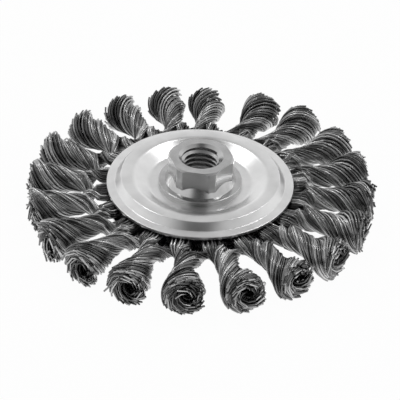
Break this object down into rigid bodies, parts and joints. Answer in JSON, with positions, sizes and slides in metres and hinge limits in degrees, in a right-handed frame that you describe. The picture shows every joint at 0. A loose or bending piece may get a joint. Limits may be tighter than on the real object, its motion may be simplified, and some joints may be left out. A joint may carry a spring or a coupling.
{
  "type": "wire wheel brush",
  "caption": "Twisted-knot steel wire wheel brush for an angle grinder, clamped between dished side plates on a flanged threaded nut.",
  "frame": {"origin": "centre of the wheel on the spindle axis, midway between the two side plates", "axes": "+Z along the spindle axis out of the nut's face, +X along the first wire knot"},
  "size_m": [0.125, 0.125, 0.023],
  "materials": {
    "nut_steel": "zinc plated, satin, turned",
    "plate_steel": "zinc plated, satin, pressed sheet",
    "core_steel": "plain rolled sheet",
    "wire_steel": "dark drawn spring wire"
  },
  "bodies": {
    "root": {"threaded_nut": "nut_steel", "upper_side_plate": "plate_steel", "lower_side_plate": "plate_steel", "core_disc": "core_steel", "wire_knot_01": "wire_steel", "wire_knot_02": "wire_steel", "wire_knot_03": "wire_steel", "wire_knot_04": "wire_steel", "wire_knot_05": "wire_steel", "wire_knot_06": "wire_steel", "wire_knot_07": "wire_steel", "wire_knot_08": "wire_steel", "wire_knot_09": "wire_steel", "wire_knot_10": "wire_steel", "wire_knot_11": "wire_steel", "wire_knot_12": "wire_steel", "wire_knot_13": "wire_steel", "wire_knot_14": "wire_steel", "wire_knot_15": "wire_steel", "wire_knot_16": "wire_steel", "wire_knot_17": "wire_steel", "wire_knot_18": "wire_steel", "wire_knot_19": "wire_steel", "wire_knot_20": "wire_steel"}
  },
  "joints": []
}
